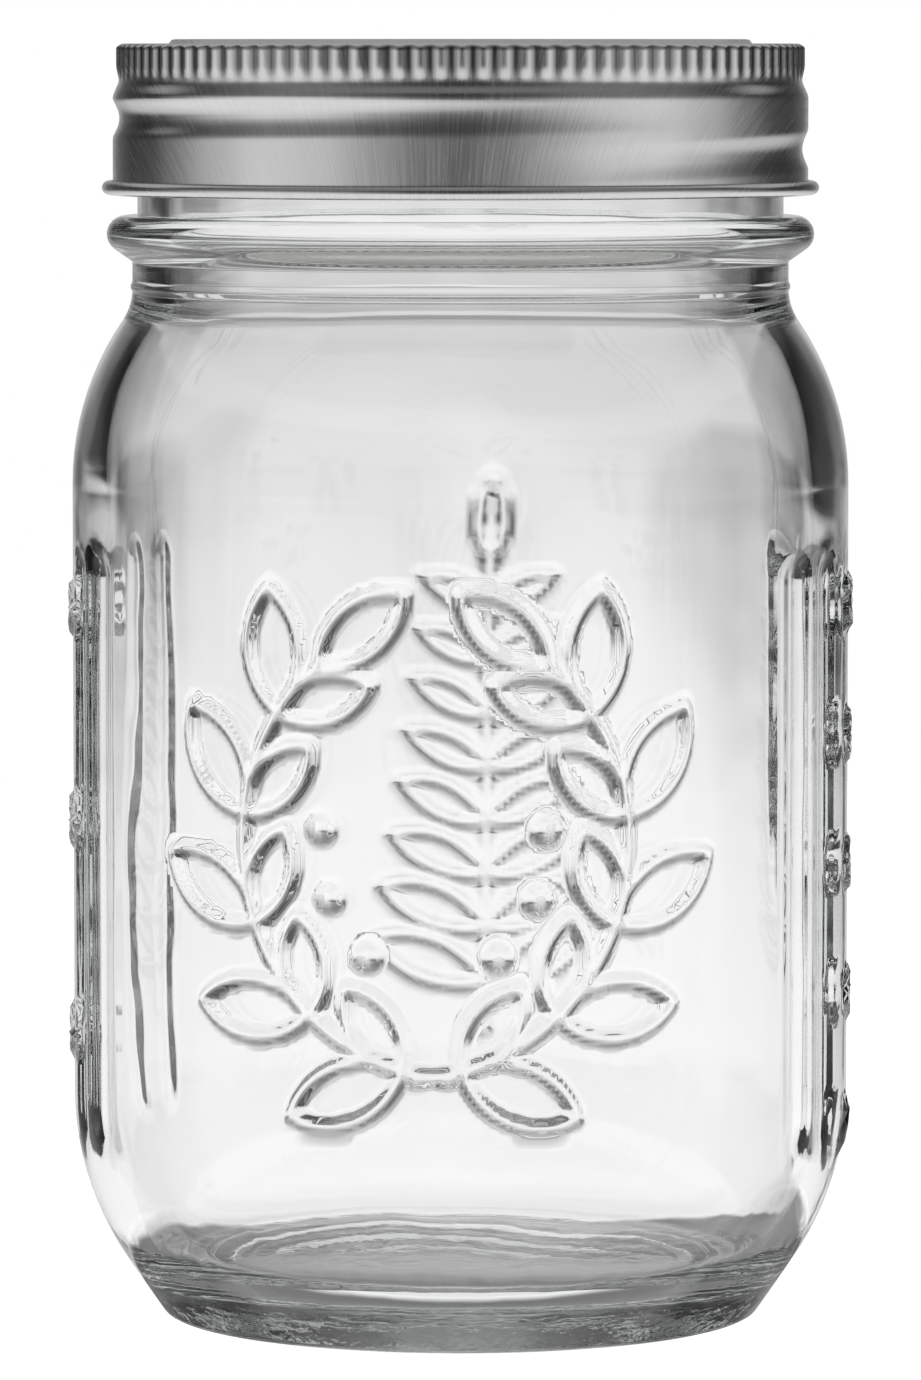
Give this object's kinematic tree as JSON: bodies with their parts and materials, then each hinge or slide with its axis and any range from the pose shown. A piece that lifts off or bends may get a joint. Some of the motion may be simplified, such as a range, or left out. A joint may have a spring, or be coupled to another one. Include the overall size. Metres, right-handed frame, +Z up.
{
  "type": "mason jar",
  "caption": "Round shouldered glass canning jar with fluted side grips and a metal closure: a flat lid disc with a sealing ring, held by a knurled screw band.",
  "frame": {"origin": "centre of the base, on the surface that the jar stands on", "axes": "+Z up along the jar's axis; -Y is the front face, +X and -X are the sides with the grip flutes"},
  "size_m": [0.081, 0.0824, 0.1332],
  "materials": {
    "glass": "clear moulded glass, fire-polished",
    "tinplate_disc": "satin tinplate",
    "sealing_compound": "matte",
    "tinplate_band": "satin tinplate with fine rolling lines"
  },
  "bodies": {
    "jar": {"glass_jar": "glass"},
    "lid": {"lid_disc": "tinplate_disc", "sealing_ring": "sealing_compound"},
    "band": {"screw_band": "tinplate_band"}
  },
  "joints": [
    {"name": "lid_lift", "type": "slide", "parent": "jar", "child": "lid", "axis": [0, 0, 1], "range_m": [0, 0.0191]},
    {"name": "band_turn", "type": "hinge", "parent": "lid", "child": "band", "pos_m": [0, 0, 0.125], "axis": [0, 0, 1], "range_deg": [0, 1080]}
  ],
  "couplings": [
    {"joint": "lid_lift", "follows": "band_turn", "m_per_rad": 0.0010106}
  ]
}
